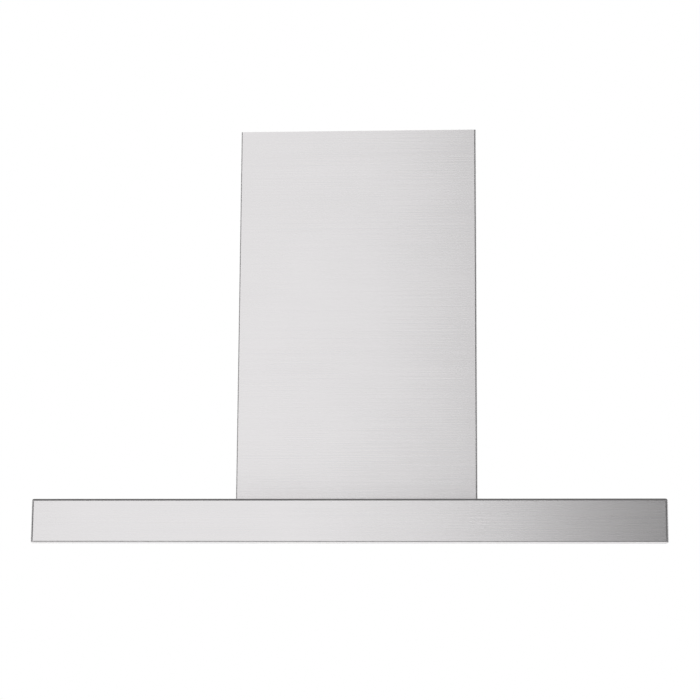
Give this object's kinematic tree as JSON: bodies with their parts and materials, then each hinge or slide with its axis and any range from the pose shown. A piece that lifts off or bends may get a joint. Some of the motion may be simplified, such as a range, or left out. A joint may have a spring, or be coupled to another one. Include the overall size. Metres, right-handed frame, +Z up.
{
  "type": "island range hood",
  "caption": "Flat stainless island canopy with baffle filters, lamps and buttons below and a telescoping chimney that hides the blower, duct collar and ceiling frame.",
  "frame": {"origin": "middle of the canopy's lower rim", "axes": "+Z up towards the ceiling, +X to the right along the canopy's width, -Y towards the buttons (front)"},
  "size_m": [0.914, 0.61, 0.648],
  "materials": {
    "stainless_shell": "fine horizontal brushing, satin",
    "stainless_panel": "satin",
    "stainless_filter": "bright satin",
    "stainless_chimney": "fine horizontal brushing, satin",
    "galvanised_steel": "spangled zinc, semi-matte",
    "screw_steel": "bright",
    "button_metal": "spun",
    "lamp_trim": "satin",
    "lamp_lens": "frosted",
    "lamp_body": "die cast",
    "black_plastic": "fine grain",
    "white_plastic": "fine grain",
    "wheel_plastic": "moulded",
    "motor_paint": "semi-gloss",
    "shaft_steel": "ground",
    "damper_plastic": "fine grain",
    "board": "lacquered",
    "latch_steel": "satin"
  },
  "bodies": {
    "hood": {"canopy_shell": "stainless_shell", "underside_panel": "stainless_panel", "canopy_braces": "galvanised_steel", "panel_screws": "screw_steel", "control_plate": "black_plastic", "switch_block": "white_plastic", "lamp_bezel_1": "lamp_trim", "lamp_bezel_2": "lamp_trim", "lamp_bezel_3": "lamp_trim", "lamp_bezel_4": "lamp_trim", "lamp_lenses": "lamp_lens", "lamp_bodies": "lamp_body", "motor_box": "galvanised_steel", "scroll_band": "galvanised_steel", "scroll_cheek_left": "galvanised_steel", "scroll_cheek_right": "galvanised_steel", "motor_body": "motor_paint", "motor_bracket": "galvanised_steel", "outlet_transition": "black_plastic", "outlet_collar": "black_plastic", "damper_axle": "shaft_steel", "electronics_box": "black_plastic", "electronics_lid": "black_plastic", "circuit_board": "board", "cable_gland": "black_plastic", "frame_base_ring": "galvanised_steel", "lower_uprights": "galvanised_steel", "lower_braces": "galvanised_steel", "frame_screws": "screw_steel"},
    "ceiling_frame": {"ceiling_plate": "galvanised_steel", "upper_uprights": "galvanised_steel", "upper_braces": "galvanised_steel", "upper_cover_front": "stainless_chimney", "upper_cover_rear": "stainless_chimney", "upper_cover_screws": "screw_steel"},
    "lower_cover": {"lower_cover_front": "stainless_chimney", "lower_cover_rear": "stainless_chimney", "lower_cover_screws": "screw_steel"},
    "impeller": {"impeller_disc": "wheel_plastic", "impeller_cage": "wheel_plastic", "motor_shaft": "shaft_steel"},
    "damper_front": {"damper_flap_front": "damper_plastic"},
    "damper_rear": {"damper_flap_rear": "damper_plastic"},
    "filter_left": {"filter_frame_left": "stainless_filter", "filter_baffles_left": "stainless_filter", "filter_handle_left": "stainless_filter"},
    "latch_left": {"filter_latch_left": "latch_steel"},
    "filter_centre": {"filter_frame_centre": "stainless_filter", "filter_baffles_centre": "stainless_filter", "filter_handle_centre": "stainless_filter"},
    "latch_centre": {"filter_latch_centre": "latch_steel"},
    "filter_right": {"filter_frame_right": "stainless_filter", "filter_baffles_right": "stainless_filter", "filter_handle_right": "stainless_filter"},
    "latch_right": {"filter_latch_right": "latch_steel"},
    "button_light": {"button_light": "button_metal"},
    "button_off": {"button_off": "button_metal"},
    "button_speed_1": {"button_speed_1": "button_metal"},
    "button_speed_2": {"button_speed_2": "button_metal"},
    "button_speed_3": {"button_speed_3": "button_metal"}
  },
  "joints": [
    {"name": "height_adjust", "type": "slide", "parent": "hood", "child": "ceiling_frame", "axis": [0, 0, 1], "range_m": [0, 0.35]},
    {"name": "cover_lift", "type": "slide", "parent": "hood", "child": "lower_cover", "axis": [0, 0, 1], "range_m": [0, 0.3]},
    {"name": "impeller_spin", "type": "hinge", "parent": "hood", "child": "impeller", "pos_m": [0, -0.014, 0.175], "axis": [1, 0, 0], "continuous": true},
    {"name": "damper_front_swing", "type": "hinge", "parent": "hood", "child": "damper_front", "pos_m": [0, 0, 0.374], "axis": [-1, 0, 0], "range_deg": [0, 75]},
    {"name": "damper_rear_swing", "type": "hinge", "parent": "hood", "child": "damper_rear", "pos_m": [0, 0, 0.374], "axis": [1, 0, 0], "range_deg": [0, 75]},
    {"name": "filter_left_swing", "type": "hinge", "parent": "hood", "child": "filter_left", "pos_m": [-0.242, 0.194, 0.014], "axis": [1, 0, 0], "range_deg": [0, 70]},
    {"name": "latch_left_pull", "type": "slide", "parent": "filter_left", "child": "latch_left", "axis": [0, 1, 0], "range_m": [0, 0.004], "stiffness_N_per_m": 300, "springref_m": -0.002},
    {"name": "filter_centre_swing", "type": "hinge", "parent": "hood", "child": "filter_centre", "pos_m": [0, 0.194, 0.014], "axis": [1, 0, 0], "range_deg": [0, 70]},
    {"name": "latch_centre_pull", "type": "slide", "parent": "filter_centre", "child": "latch_centre", "axis": [0, 1, 0], "range_m": [0, 0.004], "stiffness_N_per_m": 300, "springref_m": -0.002},
    {"name": "filter_right_swing", "type": "hinge", "parent": "hood", "child": "filter_right", "pos_m": [0.242, 0.194, 0.014], "axis": [1, 0, 0], "range_deg": [0, 70]},
    {"name": "latch_right_pull", "type": "slide", "parent": "filter_right", "child": "latch_right", "axis": [0, 1, 0], "range_m": [0, 0.004], "stiffness_N_per_m": 300, "springref_m": -0.002},
    {"name": "button_light_press", "type": "slide", "parent": "hood", "child": "button_light", "axis": [0, 0, 1], "range_m": [0, 0.002], "stiffness_N_per_m": 900, "springref_m": -0.001},
    {"name": "button_off_press", "type": "slide", "parent": "hood", "child": "button_off", "axis": [0, 0, 1], "range_m": [0, 0.002], "stiffness_N_per_m": 900, "springref_m": -0.001},
    {"name": "button_speed_1_press", "type": "slide", "parent": "hood", "child": "button_speed_1", "axis": [0, 0, 1], "range_m": [0, 0.002], "stiffness_N_per_m": 900, "springref_m": -0.001},
    {"name": "button_speed_2_press", "type": "slide", "parent": "hood", "child": "button_speed_2", "axis": [0, 0, 1], "range_m": [0, 0.002], "stiffness_N_per_m": 900, "springref_m": -0.001},
    {"name": "button_speed_3_press", "type": "slide", "parent": "hood", "child": "button_speed_3", "axis": [0, 0, 1], "range_m": [0, 0.002], "stiffness_N_per_m": 900, "springref_m": -0.001}
  ]
}
